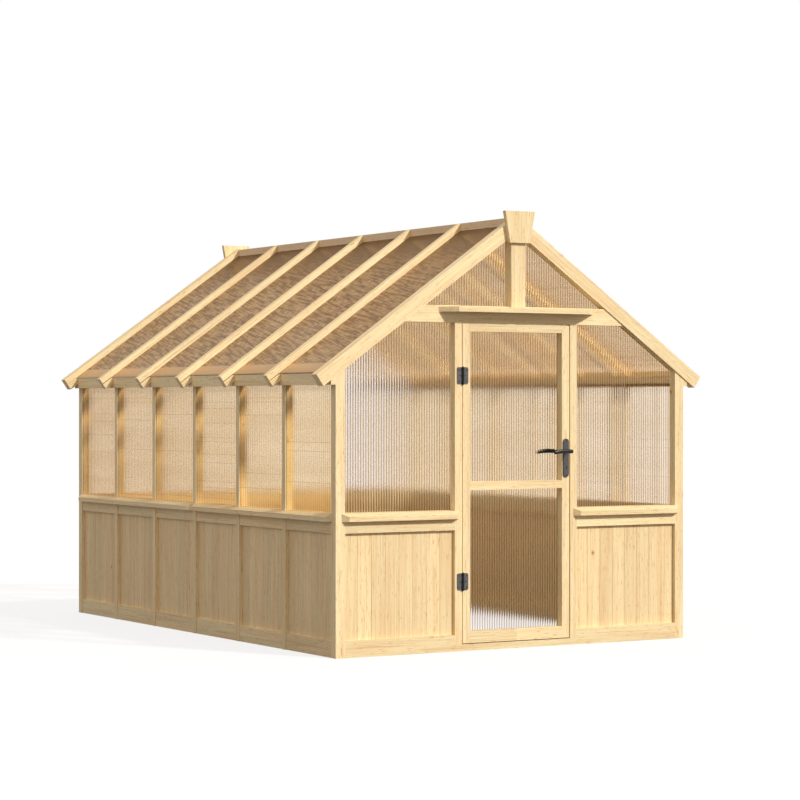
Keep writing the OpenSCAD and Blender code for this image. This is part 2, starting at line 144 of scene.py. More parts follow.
# Settings that many nodes share
EASED = {"interpolation_type": "SMOOTHSTEP"}
COLOURS = {"data_type": "RGBA"}
TIMES = {"data_type": "RGBA", "blend_type": "MULTIPLY"}
print("a mid grey paint, 808080, is", round(linear("808080")[0], 3), "in linear light")

# %% [markdown]
# ## Camera
#
# The building is seen from its front left corner at about a person's eye level. A short
# lens from near by would make the uprights lean, so a long lens from far away is used.

# %% The camera
CAMERA_AT = Vector((-8.063, -14.013, 1.444))
CAMERA_HEADING = math.radians(30.77)
CAMERA_RISE = math.radians(0.12)
camera_data = bpy.data.cameras.new("camera")
camera_data.lens = 110.4
camera_data.sensor_width = 36
camera = bpy.data.objects.new("camera", camera_data)
camera.location = CAMERA_AT
camera.rotation_euler = (math.pi / 2 + CAMERA_RISE, 0, -CAMERA_HEADING)
bpy.context.scene.collection.objects.link(camera)
bpy.context.scene.camera = camera
bpy.context.scene.view_settings.view_transform = "Standard"
MID_HEIGHT = Vector((0, 0, 1.3))
print("camera", round((CAMERA_AT - MID_HEIGHT).length, 2), "m from the middle")

# %% [markdown]
# ## Sun and world
#
# A soft sun from the front right lights the gable and leaves the left side in shade, so
# the two sides read as two planes. The world adds the even light of a pale studio. One
# world could do both for the light and for the backdrop, but a white one would wash the
# timber out. So the rays that are seen find white, and the others find a dimmer light.

# %% The sun and the world
TOWARDS_SUN = Vector((0.366, -0.746, 0.556))
sun_data = bpy.data.lights.new("soft_sun", "SUN")
sun_data.energy = 3.0
sun_data.angle = math.radians(5)
sun_data.color = linear("FFFDF7")[:3]
sun = bpy.data.objects.new("soft_sun", sun_data)
sun.rotation_euler = TOWARDS_SUN.to_track_quat("Z", "Y").to_euler()
bpy.context.scene.collection.objects.link(sun)

AMBIENT = 0.66
AMBIENT_COLOUR = linear("FFF8F6")
world = bpy.data.worlds.new("pale_studio")
world.use_nodes = True
world.node_tree.nodes.clear()


def seen_directly(tree):
    """A node that is 1 for rays from the eye, mirrored or passed by clear material."""
    path = add_node(tree, "LightPath").outputs
    seen = add_node(tree, "Math", [path["Is Camera Ray"], path["Is Glossy Ray"]],
                    operation="MAXIMUM")
    return add_node(tree, "Math", [seen, path["Is Transmission Ray"]], operation="MAXIMUM")


def studio_world(tree):
    """White to the eye, and a plain soft light on the building."""
    light = add_node(tree, "Background", {"Color": AMBIENT_COLOUR, "Strength": AMBIENT})
    white = add_node(tree, "Background", {"Color": WHITE, "Strength": 1.0})
    chosen = add_node(tree, "MixShader", [seen_directly(tree), light, white])
    add_node(tree, "OutputWorld", {"Surface": chosen})


studio_world(world.node_tree)
bpy.context.scene.world = world
print("sun strength", sun_data.energy, "and world strength", AMBIENT)

# %% [markdown]
# ## Floor
#
# The building stands on a matt white studio floor. Lit paint alone would come out grey
# beside the white world. So a share of glow is mixed in for the rays that are seen, which
# leaves the building's shadow faint, and the floor stays dim as a bounce of light.

# %% The floor
FLOOR_HALF = 40.0
FLOOR_GLOW = 0.8
FLOOR_SEEN, FLOOR_BOUNCE = linear("F9F9F9"), linear("616161")
floor_mesh = bpy.data.meshes.new("floor")
floor_mesh.from_pydata([(-FLOOR_HALF, -FLOOR_HALF, 0), (FLOOR_HALF, -FLOOR_HALF, 0),
                        (FLOOR_HALF, FLOOR_HALF, 0), (-FLOOR_HALF, FLOOR_HALF, 0)],
                       [], [(0, 1, 2, 3)])
floor = bpy.data.objects.new("floor", floor_mesh)
bpy.context.scene.collection.objects.link(floor)


def studio_floor():
    """White to the eye with only a faint shadow, and dim as a bounce of light."""
    material, tree = new_material("matt white studio floor")
    seen = seen_directly(tree)
    paint = add_node(tree, "Mix", [seen, FLOOR_BOUNCE, FLOOR_SEEN], **COLOURS)
    matt = add_node(tree, "BsdfDiffuse", {"Color": paint})
    glow = add_node(tree, "Emission", {"Color": WHITE, "Strength": 1.0})
    share = add_node(tree, "Math", [seen, FLOOR_GLOW], operation="MULTIPLY")
    mixed = add_node(tree, "MixShader", [share, matt, glow])
    add_node(tree, "OutputMaterial", {"Surface": mixed})
    return material


floor_mesh.materials.append(studio_floor())
floor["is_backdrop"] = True
print("floor is", 2 * FLOOR_HALF, "m wide")

# %% [markdown]
# ## Where the grain runs
#
# The grain follows each timber's length, so its pattern has to be drawn in coordinates
# that run along and across the timber. Rafters lean, so theirs lean too, on both slopes at
# once. UV maps could do it, but the frame's meshes have none. Object coordinates turned
# per kind of timber are enough, and a cell number shifts the pattern and the tone from
# timber to timber, as no two pieces come from the same plank.

# %% Grain directions
ROOF_SLOPE = math.radians(35)
DOWN_SLOPE = Vector((math.cos(ROOF_SLOPE), 0, -math.sin(ROOF_SLOPE)))
OFF_SLOPE = Vector((math.sin(ROOF_SLOPE), 0, math.cos(ROOF_SLOPE)))
# For each direction of grain: across, across and along
GRAIN = {
    "upright": (EAST, NORTH, UP),
    "crosswise": (NORTH, UP, EAST),
    "lengthwise": (EAST, UP, NORTH),
    "sloping": (NORTH, OFF_SLOPE, DOWN_SLOPE),
}
# How far the pattern may shift from one timber to the next, in metres
PLANK_SHIFT = (7.0, 7.0, 7.0)
print("directions of grain:", ", ".join(GRAIN))


def timber_coordinates(tree, grain, cell, start, seed):
    """Coordinates in metres, z along the grain, shifted per timber, and a tone per timber."""
    place = add_node(tree, "TexCoord").outputs["Object"]
    counted = add_node(tree, "VectorMath", [place, cell], operation="DIVIDE")
    counted = add_node(tree, "VectorMath", [counted, (start,) * 3], operation="ADD")
    counted = add_node(tree, "VectorMath", [counted], operation="FLOOR")
    counted = add_node(tree, "VectorMath", [counted, (seed,) * 3], operation="ADD")
    chance = add_node(tree, "TexWhiteNoise", [counted], noise_dimensions="3D").outputs
    if grain == "sloping":
        east, north, height = add_node(tree, "SeparateXYZ", [place]).outputs
        folded = add_node(tree, "Math", [east], operation="ABSOLUTE")
        place = add_node(tree, "CombineXYZ", [folded, north, height])
    turned = add_node(tree, "CombineXYZ", [
        add_node(tree, "VectorMath", [place, axis], operation="DOT_PRODUCT")
        for axis in GRAIN[grain]])
    shift = add_node(tree, "VectorMath", [chance["Color"], PLANK_SHIFT], operation="MULTIPLY")
    shifted = add_node(tree, "VectorMath", [turned, shift], operation="ADD")
    return shifted, chance["Value"]


# %% [markdown]
# ## Planed spruce
#
# The frame is spruce, run through a planer and left bare: pale cream wood with peach
# streaks along the grain, fine growth lines, flecks and a few small knots, with a dull
# sheen. Its IOR of 1.5 is wood's usual one. Real growth rings are 1 to 4 mm apart and would
# be lost at this distance, so they are drawn coarser. The fibres, far below 0.1 mm, are
# drawn coarser too, and still they only show in close views, where they break the sheen.

# %% The spruce material
CREAM = linear("F7E4B4")
BOARD_CREAM = linear("F4DDAC")
# A darker cream for the ridge board: painted shade
RIDGE_SHADE_CREAM = linear("E0C8A4")
PEACH = linear("EDC894")
GROWTH_LINE = linear("D9AE7C")
FLECK = linear("C28A52")
KNOT = linear("A8754A")
KNOT_RIM = linear("D9A873")
# Sizes of the pattern: across, across and along the grain
STREAK_SIZE, DRIFT_SIZE, GROWTH_SIZE = mm(30, 30, 750), mm(100, 100, 900), mm(5.5, 5.5, 450)
FIBRE_SIZE, FLECK_SIZE, KNOT_SPACING = mm(1.2, 1.2, 30), mm(4, 4, 60), mm(170, 170, 210)
KNOT_CHANCE = 0.2
# (where it fades out, where it is full, colour); distances are parts of the spacing
KNOT_RINGS = ((0.11, 0.04, KNOT_RIM), (0.05, 0.025, KNOT))
# The tone of the darkest and of the palest timber
DARKEST, PALEST = 0.93, 1.03


def patches(tree, place, size, low, high, most=1.0, detail=2.0, roughness=0.5):
    """Soft random patches of a real size: 0 where the noise is below low, most above high."""
    counted = add_node(tree, "VectorMath", [place, size], operation="DIVIDE")
    noise = add_node(tree, "TexNoise", {"Vector": counted, "Scale": 1.0, "Detail": detail,
                                        "Roughness": roughness})
    return add_node(tree, "MapRange", [noise, low, high, 0.0, most], **EASED)


def spruce_surface(tree, place, tone, pale=CREAM):
    """Streaks, growth lines, flecks, knots and fibres of planed spruce."""
    streaks = patches(tree, place, STREAK_SIZE, 0.42, 0.68, most=0.5, detail=3.0, roughness=0.55)
    drift = patches(tree, place, DRIFT_SIZE, 0.35, 0.70, most=0.3, detail=1.0)
    growth = patches(tree, place, GROWTH_SIZE, 0.50, 0.68, most=0.6, roughness=0.6)
    flecks = patches(tree, place, FLECK_SIZE, 0.60, 0.70, most=0.75, roughness=0.6)
    peach = add_node(tree, "Math", [streaks, drift], operation="ADD", use_clamp=True)
    colour = add_node(tree, "Mix", [peach, pale, PEACH], **COLOURS)
    colour = add_node(tree, "Mix", [growth, colour, GROWTH_LINE], **COLOURS)
    colour = add_node(tree, "Mix", [flecks, colour, FLECK], **COLOURS)

    spaced = add_node(tree, "VectorMath", [place, KNOT_SPACING], operation="DIVIDE")
    cells = add_node(tree, "TexVoronoi", {"Vector": spaced, "Scale": 1.0,
                                          "Randomness": 1.0}).outputs
    draw = add_node(tree, "SeparateColor", [cells["Color"]])
    has_knot = add_node(tree, "Math", [draw, 1 - KNOT_CHANCE], operation="GREATER_THAN")
    for outer, inner, knot_colour in KNOT_RINGS:
        near = add_node(tree, "MapRange", [cells["Distance"], outer, inner], **EASED)
        here = add_node(tree, "Math", [near, has_knot], operation="MULTIPLY")
        colour = add_node(tree, "Mix", [here, colour, knot_colour], **COLOURS)

    shade = add_node(tree, "MapRange", [tone, 0.0, 1.0, DARKEST, PALEST], **EASED)
    colour = add_node(tree, "VectorMath", {"Vector": colour, "Scale": shade},
                      operation="SCALE")
    counted = add_node(tree, "VectorMath", [place, FIBRE_SIZE], operation="DIVIDE")
    fibres = add_node(tree, "TexNoise", {"Vector": counted, "Scale": 1.0, "Detail": 2.0})
    roughness = add_node(tree, "MapRange", [fibres, 0.3, 0.7, 0.5, 0.68], **EASED)
    relief = add_node(tree, "Bump", {"Height": fibres, "Strength": 0.25,
                                     "Distance": 0.4 * MM})
    surface = add_node(tree, "BsdfPrincipled", {
        "Base Color": colour, "Roughness": roughness, "IOR": 1.5, "Normal": relief,
        "Specular IOR Level": 0.3})
    add_node(tree, "OutputMaterial", {"Surface": surface})


print("growth lines of", round(GROWTH_SIZE[0] / MM, 1), "mm, a knot in", KNOT_CHANCE,
      "of the cells")

# %% [markdown]
# ## Grain on every timber
#
# Each kind of timber gets its own spruce. What differs is the direction of the grain and
# the size of the cells that part one timber from the next: a bay for studs and rafters, a
# wide cell where there is one timber, and a line through the middle where there are two.

# %% Give every timber its grain
POST = 54 * MM
boards_low, boards_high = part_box("side_boards")
BAY = (boards_high.y - boards_low.y + POST) / 6
# Where the cells start: with a line through the middle, or with the middle inside a cell
AT_LINES, BETWEEN = 0.0, 0.5
# Sizes of cells in metres: all of the building, both ends or sides apart, rails by height
ALL, APART, RAILS, DOOR_RAILS = 9.0, 2.0, 0.4, 0.65
# node: (direction of grain, size of the cell that holds one timber, start of the cells)
TIMBERS = {
    "front_sole": ("crosswise", (ALL, ALL, ALL), BETWEEN),
    "rear_sole": ("crosswise", (ALL, ALL, ALL), BETWEEN),
    "side_soles": ("lengthwise", (ALL, BAY, ALL), AT_LINES),
    "corner_posts": ("upright", (ALL, ALL, ALL), AT_LINES),
    "side_studs": ("upright", (ALL, BAY, ALL), BETWEEN),
    "rear_studs": ("upright", (ALL, ALL, ALL), AT_LINES),
    "door_jambs": ("upright", (ALL, ALL, ALL), AT_LINES),
    "front_rails": ("crosswise", (ALL, ALL, RAILS), AT_LINES),
    "rear_rails": ("crosswise", (ALL, ALL, RAILS), AT_LINES),
    "side_rails": ("lengthwise", (ALL, BAY, RAILS), AT_LINES),
    "front_sills": ("crosswise", (ALL, ALL, ALL), AT_LINES),
    "rear_sill": ("crosswise", (ALL, ALL, ALL), BETWEEN),
    "side_sills": ("lengthwise", (ALL, ALL, ALL), AT_LINES),
    "wall_plates": ("lengthwise", (APART, ALL, ALL), BETWEEN),
    "eave_beams": ("lengthwise", (APART, ALL, ALL), BETWEEN),
    "tie_beams": ("crosswise", (ALL, APART, ALL), BETWEEN),
    "king_posts": ("upright", (ALL, APART, ALL), BETWEEN),
    "ridge_board": ("lengthwise", (ALL, ALL, ALL), BETWEEN),
    "rafters": ("sloping", (ALL, BAY, ALL), BETWEEN),
    "battens": ("sloping", (ALL, BAY, ALL), BETWEEN),
    "left_gable_rafters": ("sloping", (ALL, APART, ALL), BETWEEN),
    "right_gable_rafters": ("sloping", (ALL, APART, ALL), BETWEEN),
    "keystones": ("upright", (ALL, APART, ALL), BETWEEN),
    "door_canopy": ("crosswise", (ALL, ALL, ALL), BETWEEN),
    "door_stiles": ("upright", (ALL, ALL, ALL), AT_LINES),
    "door_rails": ("crosswise", (ALL, ALL, DOOR_RAILS), AT_LINES),
}
FIRST_SEED = 10
for seed, (node_name, (grain, cell, start)) in enumerate(TIMBERS.items(), FIRST_SEED):
    spruce, tree = new_material("planed spruce, " + node_name.replace("_", " "))
    # The ridge board gets a darker cream, painted shade for its face that lies in shade
    pale = RIDGE_SHADE_CREAM if node_name == "ridge_board" else CREAM
    spruce_surface(tree, *timber_coordinates(tree, grain, cell, start, seed), pale)
    timber = frame["nodes"][node_name].data
    timber.materials.clear()
    timber.materials.append(spruce)
print("timbers with spruce:", len(TIMBERS), "bay in mm:", round(BAY / MM))

# %% [markdown]
# ## Reading single pieces from a node
#
# One node may hold many like pieces, such as all the boarded panels of a side. To model
# on top of them, the corners of each separate solid are needed. Corners that share a face
# belong together, so joining them face by face sorts them into solids.


# %% Sort a node's corners into solids
def solids(node_name):
    """The corner points of each separate solid in a CAD node."""
    mesh = frame["nodes"][node_name].data
    number = {}
    same = [number.setdefault(tuple(round(c, 5) for c in v.co), len(number))
            for v in mesh.vertices]
    group = list(range(len(number)))

    def leader(i):
        while group[i] != i:
            group[i] = group[group[i]]
            i = group[i]
        return i

    for face in mesh.polygons:
        first, *others = [same[v] for v in face.vertices]
        for other in others:
            group[leader(other)] = leader(first)
    found = {}
    for point, i in number.items():
        found.setdefault(leader(i), []).append(Vector(point))
    return list(found.values())


def corners(points):
    """The lowest and highest corner of a list of points."""
    return (Vector([min(p[i] for p in points) for i in range(3)]),
            Vector([max(p[i] for p in points) for i in range(3)]))


def finished_mesh(build, name, sharp_angle=None):
    """Turns a bmesh into a mesh with its faces outward and edges sharp beyond an angle."""
    bmesh.ops.recalc_face_normals(build, faces=build.faces)
    mesh = bpy.data.meshes.new(name)
    build.to_mesh(mesh)
    build.free()
    if sharp_angle:
        mesh.set_sharp_from_angle(angle=math.radians(sharp_angle))
    return mesh


def add_piece(mesh, material, body, *replaced):
    """Links a mesh as a piece of the building, on its body, in place of CAD nodes."""
    piece = bpy.data.objects.new(mesh.name, mesh)
    bpy.context.scene.collection.objects.link(piece)
    mesh.materials.append(material)
    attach(piece, body)
    if replaced:
        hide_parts(*replaced)


print("side panels:", len(solids("side_boards")))

# %% [markdown]
# ## Tongued and grooved boards
#
# The lower panels are filled with upright boards. Each board's long edges are chamfered,
# so a fine V shows at every joint. Grooves painted on would stay flat in slanting light.
# So a board is one eight sided ring of points swept upwards, and its tone is stored on its
# faces, so that neighbours differ a little.

# %% Boards in every lower panel
BOARD_WIDTH = 92 * MM
CHAMFER = 2.2 * MM


def boarding(node_name, forward):
    """All the boards of one node, side by side along the direction forward."""
    build = bmesh.new()
    tone = build.faces.layers.float.new("tone")
    chance = np.random.default_rng(len(node_name))
    across = NORTH if forward == EAST else EAST
    for points in solids(node_name):
        low, high = corners(points)
        start, end = low.dot(forward), high.dot(forward)
        near, far = low.dot(across), high.dot(across)
        count = round((end - start) / BOARD_WIDTH)
        width = (end - start) / count
        for k in range(count):
            a, b = start + k * width, start + (k + 1) * width
            ring = [(a, near + CHAMFER), (a + CHAMFER, near), (b - CHAMFER, near),
                    (b, near + CHAMFER), (b, far - CHAMFER), (b - CHAMFER, far),
                    (a + CHAMFER, far), (a, far - CHAMFER)]
            feet = [build.verts.new(forward * u + across * v + UP * low.z) for u, v in ring]
            heads = [build.verts.new(forward * u + across * v + UP * high.z) for u, v in ring]
            faces = [build.faces.new(feet[::-1]), build.faces.new(heads)]
            faces += [build.faces.new((feet[i - 1], feet[i], heads[i], heads[i - 1]))
                      for i in range(len(ring))]
            value = chance.random()
            for face in faces:
                face[tone] = value
    return finished_mesh(build, node_name + "_matchboard")


# How far the pattern shifts between a board of the lowest and of the highest tone, in m
BOARD_SHIFT = (31.0, 17.0, 23.0)


def spruce_boards():
    """Spruce for boards: the tone of each board comes from its faces."""
    material, tree = new_material("planed spruce, matchboard")
    place = add_node(tree, "TexCoord").outputs["Object"]
    tone = add_node(tree, "Attribute", attribute_name="tone").outputs["Fac"]
    shift = add_node(tree, "VectorMath", [BOARD_SHIFT, tone], operation="SCALE")
    shifted = add_node(tree, "VectorMath", [place, shift], operation="ADD")
    spruce_surface(tree, shifted, tone, BOARD_CREAM)
    return material


board_material = spruce_boards()
for node_name, forward in (("front_boards", EAST), ("rear_boards", EAST), ("side_boards", NORTH)):
    boards = boarding(node_name, forward)
    add_piece(boards, board_material, "building", node_name)
    print(node_name, "faces:", len(boards.polygons))

# %% [markdown]
# ## Ribbed clear sheets
#
# Every window and roof bay holds a clear sheet whose outer face has fine ribs. Each rib is
# a weak lens, and the web under it shows as a thin brown line. That can't be painted on,
# because what lies behind must shift with the ribs, so the ribs are real: both faces of a
# sheet swell and sink in a smooth wave. The outline of each sheet is read from its CAD
# solid, and the wave is cut to it. The number of each rib is stored on the outer face, so
# the material can find the web in its middle.

# %% Sheets with ribs
GABLE_PITCH = 17.2 * MM
SIDE_PITCH = 23.4 * MM
RIB_DEPTH = 0.4 * MM
POINTS_PER_RIB = 8
FEWEST_STEPS = 8
# How near to a face of the sheet a corner must be to count as on it
FACE_REACH = 1 * MM
# Keeps a cut just inside a sheet's ends, where its outline still has two sides
JUST_INSIDE = 1e-6
print("ribs every", GABLE_PITCH / MM, "mm in the gables,", SIDE_PITCH / MM, "mm elsewhere")


def edges_of(outline):
    """Neighbouring pairs of an outline's points."""
    return zip(outline, outline[1:] + outline[:1])


def span_at(outline, u):
    """The lowest and highest v where a line of constant u crosses a convex outline."""
    hits = [a[1] + (b[1] - a[1]) * (u - a[0]) / (b[0] - a[0])
            for a, b in edges_of(outline) if a[0] != b[0] and (a[0] - u) * (b[0] - u) <= 0]
    return min(hits), max(hits)


def outline_of(points, depths, face_depth, across, along):
    """The outline of the points that lie on one face of a sheet."""
    flat = [Vector((p.dot(across), p.dot(along)))
            for p, depth in zip(points, depths) if abs(depth - face_depth) < FACE_REACH]
    return [tuple(flat[i]) for i in convex_hull_2d(flat)]


def ribbed_sheets(node_name, across_and_along, pitch):
    """All the sheets of one node; across_and_along gives the directions for a sheet."""
    build = bmesh.new()
    rib_number = build.verts.layers.float.new("rib")
    for points in solids(node_name):
        across, along = across_and_along(points)
        outward = across.cross(along)
        depths = [p.dot(outward) for p in points]
        back, front = min(depths), max(depths)
        outlines = [outline_of(points, depths, face, across, along) for face in (back, front)]
        start = max(min(p[0] for p in outline) for outline in outlines)
        end = min(max(p[0] for p in outline) for outline in outlines)
        steps = max(FEWEST_STEPS, round((end - start) / pitch * POINTS_PER_RIB))
        rings = []
        for k in range(steps + 1):
            u = start + (end - start) * k / steps
            inside = min(max(u, start + JUST_INSIDE), end - JUST_INSIDE)
            spans = [span_at(outline, inside) for outline in outlines]
            low, high = max(s[0] for s in spans), min(s[1] for s in spans)
            sink = RIB_DEPTH * (0.5 - 0.5 * math.cos(2 * math.pi * u / pitch))
            ring = [(low, front - sink), (high, front - sink),
                    (high, back + sink), (low, back + sink)]
            rings.append([build.verts.new(across * u + along * v + outward * n)
                          for v, n in ring])
            for point in rings[-1][:2]:
                point[rib_number] = u / pitch
        for one, two in zip(rings, rings[1:]):
            for i in range(4):
                face = build.faces.new((one[i], one[(i + 1) % 4], two[(i + 1) % 4], two[i]))
                face.smooth = i in (0, 2)
        build.faces.new(rings[0][::-1])
        build.faces.new(rings[-1])
    return finished_mesh(build, node_name + "_ribbed", sharp_angle=50)


# %% [markdown]
# ## Clear plastic with webs
#
# The sheets are extruded polycarbonate: glossy, and clear when seen square on. At a slant
# the inner webs close up, so what lies behind turns warm and dim, and on the roof the sheet
# looks like brown opal. Webs could be modelled inside two skins, but light bent so often
# comes out noisy. Here the slant of the surface picks the tint, and a share of milk is mixed
# in at a grazing slant. Lamps and bounced light pass straight through, as daylight does.

# %% Colours of the plastic
roof_low, roof_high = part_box("roof_sheets")
ROOF_FOOT, ROOF_TOP = roof_low.z, roof_high.z
EAVE_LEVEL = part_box("side_windows")[1].z
# Pairs of slant, from 0 square on to 1 edge on, and what the plastic is like there
CLEAR = ((0.04, "FFFEFD"), (0.25, "FFFDFC"), (0.49, "FFF1D1"), (0.70, "DBC0A0"),
         (0.95, "AD9984"))
OVER_WEB = ((0.04, "C8B5A4"), (0.25, "D0C0B1"), (0.49, "FCF7F0"), (0.70, "CEC2B5"))
MILK = ((0.10, "FCF6EB"), (0.49, "FFEFCB"), (0.77, "E5C59D"), (0.95, "C4A681"))
SHINE = ((0.49, "FFFFFF"), (0.77, "B3A490"))
MILK_SHARE = ((0.10, 0.01), (0.49, 0.0), (0.62, 0.12), (0.77, 0.62))
# What the marks take from the plastic's own colour
# BAND and LEVEL_LINE are painted shade on the side sheets, EAVE_SHADE painted shade under the
# eaves
BAND, LEVEL_LINE, EAVE_SHADE = linear("F9F5EF"), linear("E7DFD4"), linear("EDEBEA")
# RIDGE_SHADE is a painted shadow of the ridge board on the roof sheets
DASH, WAVE, RIDGE_SHADE = linear("DDDBDA"), linear("D4D3D3"), linear("B8B3AD")
# Between the marks of the roof the milk is brighter than its colour, and over its eave beam it
# carries painted light
BY_DASH, BY_WAVE, BEAM_PAINTED_LIGHT = (1.11, 1.10, 1.10, 1), (1.17, 1.16, 1.16, 1), (1.36, 1.40, 1.52, 1)
print("side sheets end at", round(EAVE_LEVEL, 3), "m, roof sheets from", round(ROOF_FOOT, 3),
      "to", round(ROOF_TOP, 3), "m up")

# %% [markdown]
# ## Webs and marks
#
# Faint bands and level lines across the side ribs are painted shade, for shadows seen through.
# At a grazing slant the ribs of the two skins beat against each other, which shows as
# slanted waves with fine dashes. The sheets here have one skin, so the waves are drawn, at
# the size in which they show. They keep their place when the view changes, as a real beat
# would not. Three more marks are painted by height: a painted shadow by the ridge board,
# painted light where the sheet lies on the sunlit eave beam, and painted shade under the eaves.


# %% Patterns in the sheets
# Sizes towards the inside, across the ribs and up them; a wave's are across it and along it
BAND_SIZE, LINE_SIZE, DASH_SIZE = mm(1000, 100, 160), mm(1000, 100, 13), mm(1000, 14, 24)
WAVE_SIZE = mm(17, 240, 1000)


def webs_of(tree):
    """1 on the web in the middle of each rib, and 0 between."""
    rib = add_node(tree, "Attribute", attribute_name="rib").outputs["Fac"]
    off_web = add_node(tree, "Math", [rib], operation="FRACT")
    off_web = add_node(tree, "Math", [off_web, 0.5], operation="SUBTRACT")
    off_web = add_node(tree, "Math", [off_web], operation="ABSOLUTE")
    return add_node(tree, "MapRange", [off_web, 0.13, 0.22, 1.0, 0.0], **EASED)


def wall_marks(tree, north, height, slant):
    """Painted shade on the side walls: bands and lines across the ribs, and the eaves' shade."""
    bay = add_node(tree, "Math", [north, BAY], operation="SNAP")
    levels = add_node(tree, "CombineXYZ", {"Y": bay, "Z": height})
    bands = patches(tree, levels, BAND_SIZE, 0.38, 0.62, detail=1.5)
    lines = patches(tree, levels, LINE_SIZE, 0.66, 0.74, most=0.8, detail=0.0)
    slanted = add_node(tree, "MapRange", [slant, 0.3, 0.46], **EASED)
    marks = add_node(tree, "Mix", [bands, BAND, WHITE], **COLOURS)
    marks = add_node(tree, "Mix", [lines, marks, LEVEL_LINE], **COLOURS)
    marks = add_node(tree, "Mix", [slanted, WHITE, marks], **COLOURS)
    # Painted shade under the eaves, at the top of the side sheets
    on_wall = add_node(tree, "Math", [height, ROOF_FOOT], operation="LESS_THAN")
    under_eave = add_node(tree, "MapRange", [height, EAVE_LEVEL - 85 * MM,
                                             EAVE_LEVEL - 50 * MM], **EASED)
    shaded = add_node(tree, "Math", [on_wall, under_eave], operation="MULTIPLY")
    shaded = add_node(tree, "Math", [shaded, slanted], operation="MULTIPLY")
    return add_node(tree, "Mix", [shaded, marks, EAVE_SHADE], **COLOURS)


# Directions on a roof slope: across a wave, and along it
ACROSS_WAVE = (0, 0.26, 0.97 / DOWN_SLOPE.z)
ALONG_WAVE = (0, -0.97, 0.26 / DOWN_SLOPE.z)


def roof_marks(tree, place, north, height, slant):
    """Waves and dashes of the roof sheets, with painted shadow by the ridge and painted light
    over the beam.
    """
    beat = add_node(tree, "CombineXYZ", [
        add_node(tree, "VectorMath", [place, axis], operation="DOT_PRODUCT")
        for axis in (ACROSS_WAVE, ALONG_WAVE)])
    waves = patches(tree, beat, WAVE_SIZE, 0.40, 0.58, detail=1.0)
    ribs = add_node(tree, "CombineXYZ", {"Y": north, "Z": height})
    dashes = patches(tree, ribs, DASH_SIZE, 0.42, 0.60, detail=0.0)
    dashes = add_node(tree, "Mix", [dashes, DASH, BY_DASH], **COLOURS)
    waves = add_node(tree, "Mix", [waves, WAVE, BY_WAVE], **COLOURS)
    marks = add_node(tree, "Mix", [1.0, dashes, waves], **TIMES)
    # Painted shadow of the ridge board, darkest near the top of the roof
    ridge_shadow = add_node(tree, "MapRange", [height, ROOF_TOP - 350 * MM,
                                           ROOF_TOP - 40 * MM], **EASED)
    marks = add_node(tree, "Mix", [ridge_shadow, marks, RIDGE_SHADE], **COLOURS)
    # Painted light where the sheet lies on the sunlit eave beam
    beam_light = add_node(tree, "MapRange", [height, ROOF_FOOT + 66 * MM,
                                          ROOF_FOOT + 58 * MM], **EASED)
    marks = add_node(tree, "Mix", [beam_light, marks, BEAM_PAINTED_LIGHT], **COLOURS)
    grazing = add_node(tree, "MapRange", [slant, 0.55, 0.7], **EASED)
    return add_node(tree, "Mix", [grazing, WHITE, marks], **COLOURS)


print("a wave is", round(WAVE_SIZE[0] / MM), "mm wide, and a dash", round(DASH_SIZE[2] / MM),
      "mm long")

# %% The clear plastic
# Polycarbonate's IOR is near 1.58. The bend is less here to match how faint the ribs look,
# and the mirror much less, because under a white world a full one would hide the tint.
REFRACTION_IOR = 1.45
MIRROR_IOR = 1.08
PASSED_BY_MILK = 0.6


def clear_ribbed_sheet():
    """Clear plastic that bends the view and lets lamps and bounced light through."""
    material, tree = new_material("ribbed clear polycarbonate")
    slant = add_node(tree, "LayerWeight", {"Blend": 0.5}).outputs["Facing"]
    place = add_node(tree, "TexCoord").outputs["Object"]
    _, north, height = add_node(tree, "SeparateXYZ", [place]).outputs
    clear, over_web, milky, shiny, share = (
        add_node(tree, "ValToRGB", [slant], stops)
        for stops in (CLEAR, OVER_WEB, MILK, SHINE, MILK_SHARE))
    tint = add_node(tree, "Mix", [webs_of(tree), clear, over_web], **TIMES)
    tint = add_node(tree, "Mix", [1.0, tint, wall_marks(tree, north, height, slant)], **TIMES)
    bend = add_node(tree, "BsdfRefraction", {"Color": tint, "IOR": REFRACTION_IOR,
                                             "Roughness": 0.11})
    opal = add_node(tree, "Mix", [1.0, milky, roof_marks(tree, place, north, height, slant)],
                    **TIMES)
    milk = add_node(tree, "MixShader", [PASSED_BY_MILK,
                                        add_node(tree, "BsdfDiffuse", {"Color": opal}),
                                        add_node(tree, "BsdfTranslucent", {"Color": opal})])
    inside = add_node(tree, "MixShader", [share, bend, milk])
    shine = add_node(tree, "BsdfGlossy", {"Color": shiny, "Roughness": 0.12})
    mirror = add_node(tree, "Fresnel", {"IOR": MIRROR_IOR})
    body = add_node(tree, "MixShader", [mirror, inside, shine])
    through = add_node(tree, "BsdfTransparent", {"Color": linear("FDFCF9")})
    path = add_node(tree, "LightPath").outputs
    lit = add_node(tree, "Math", [path["Is Shadow Ray"], path["Is Diffuse Ray"]],
                   operation="MAXIMUM")
    add_node(tree, "OutputMaterial",
             {"Surface": add_node(tree, "MixShader", [lit, body, through])})
    return material


sheet_material = clear_ribbed_sheet()
print("nodes in the clear plastic:", len(sheet_material.node_tree.nodes))

# %% [markdown]
# ## Sheets in every opening
#
# Ribs run up the walls and up the roof slopes, so that water runs down them. The outer
# face must be the one with the rib numbers. So for every kind of place a small function
# gives the direction across the ribs and the one along them, and their cross product
# points outward.


# %% Every window, both roof slopes and the door
def in_gable(points):
    """Sheets in the gable walls and the door: ribs run up, and the row runs east."""
    return EAST, UP


def in_side(points):
    """Sheets in the long walls: ribs run up, and the outer face looks away from the middle."""
    return (NORTH if points[0].x > 0 else -NORTH), UP


